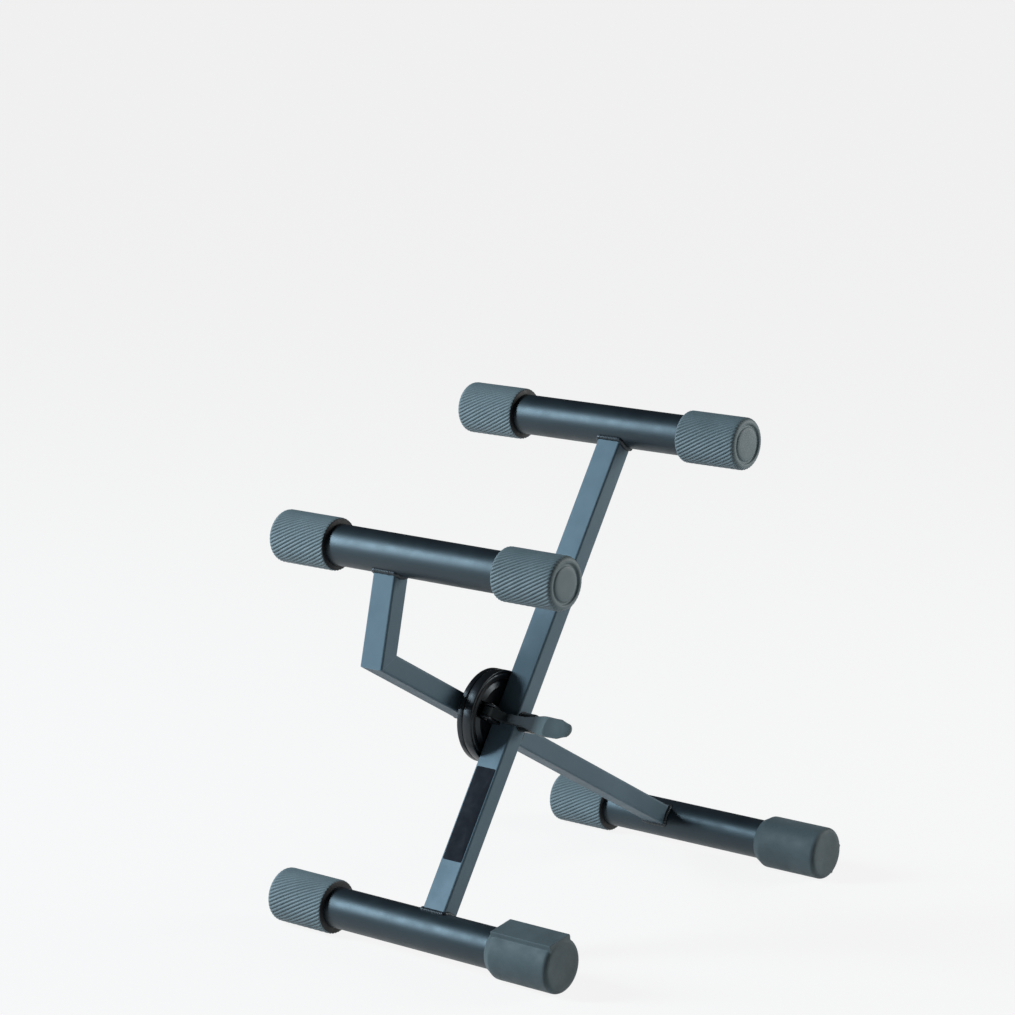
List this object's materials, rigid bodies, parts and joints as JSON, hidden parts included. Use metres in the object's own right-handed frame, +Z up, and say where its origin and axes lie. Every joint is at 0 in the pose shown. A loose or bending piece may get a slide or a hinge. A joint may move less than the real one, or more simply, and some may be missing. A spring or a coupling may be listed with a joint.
{
  "type": "folding amp stand",
  "caption": "Folding stand of two crossed steel legs on a toothed disc hinge with a release lever, with a round cross bar at each leg end, knurled rubber grips and turnable levelling feet.",
  "frame": {"origin": "on the floor, midway between the two base bars and midway along the stand", "axes": "+Z up, +X along the cross bars towards the levelling feet, -Y towards the front, where the lower top bar and the release lever are"},
  "size_m": [0.3302, 0.4828, 0.4768],
  "materials": {
    "black_paint": "gloss black paint",
    "slate_paint": "satin slate black paint",
    "disc_black": "gloss black moulding",
    "lever_paint": "satin grey paint",
    "grip_rubber": "blue-grey rubber",
    "zinc_steel": "zinc plated steel",
    "spring_steel": "bare spring steel",
    "cap_plastic": "black push-on cap",
    "bush_nylon": "natural nylon"
  },
  "bodies": {
    "straight_leg": {"leg_a_tube": "slate_paint", "front_base_bar": "black_paint", "rear_top_bar": "black_paint", "front_base_left_grip": "grip_rubber", "rear_top_left_grip": "grip_rubber", "rear_top_right_grip": "grip_rubber", "leg_a_welds": "slate_paint", "disc_housing": "disc_black", "housing_rivets": "zinc_steel", "pivot_bolt": "zinc_steel", "pivot_washers": "zinc_steel", "pivot_nut": "zinc_steel", "pivot_nut_cap": "cap_plastic", "pivot_sleeve": "zinc_steel", "leg_a_spacer": "zinc_steel", "lever_bracket": "slate_paint", "lever_pin": "zinc_steel", "lock_spring": "spring_steel"},
    "bent_leg": {"leg_b_long_tube": "slate_paint", "leg_b_upright_tube": "slate_paint", "rear_base_bar": "black_paint", "front_top_bar": "black_paint", "rear_base_left_grip": "grip_rubber", "front_top_left_grip": "grip_rubber", "front_top_right_grip": "grip_rubber", "leg_b_welds": "slate_paint", "toothed_disc": "disc_black", "toothed_disc_rivets": "zinc_steel", "leg_b_bush": "bush_nylon"},
    "lock_plate": {"lock_plate": "zinc_steel", "drive_pin": "zinc_steel"},
    "release_lever": {"release_lever": "lever_paint"},
    "front_level_foot": {"front_level_foot": "grip_rubber"},
    "rear_level_foot": {"rear_level_foot": "grip_rubber"}
  },
  "joints": [
    {"name": "fold", "type": "hinge", "parent": "straight_leg", "child": "bent_leg", "pos_m": [0, -0.09974, 0.20068], "axis": [1, 0, 0], "range_deg": [-27, 80]},
    {"name": "lever_pull", "type": "hinge", "parent": "straight_leg", "child": "release_lever", "pos_m": [0.0059, -0.12261, 0.21136], "axis": [0, -0.5446, -0.8387], "range_deg": [0, 6.75]},
    {"name": "lock_release", "type": "slide", "parent": "straight_leg", "child": "lock_plate", "axis": [1, 0, 0], "range_m": [0, 0.003], "stiffness_N_per_m": 2500, "springref_m": -0.004, "deforming": ["lock_spring"]},
    {"name": "front_foot_turn", "type": "hinge", "parent": "straight_leg", "child": "front_level_foot", "pos_m": [0, -0.21357, 0.0254], "axis": [1, 0, 0], "continuous": true},
    {"name": "rear_foot_turn", "type": "hinge", "parent": "bent_leg", "child": "rear_level_foot", "pos_m": [0, 0.21357, 0.0254], "axis": [1, 0, 0], "continuous": true}
  ],
  "couplings": [
    {"joint": "lever_pull", "follows": "lock_release", "rad_per_m": 39.27}
  ]
}
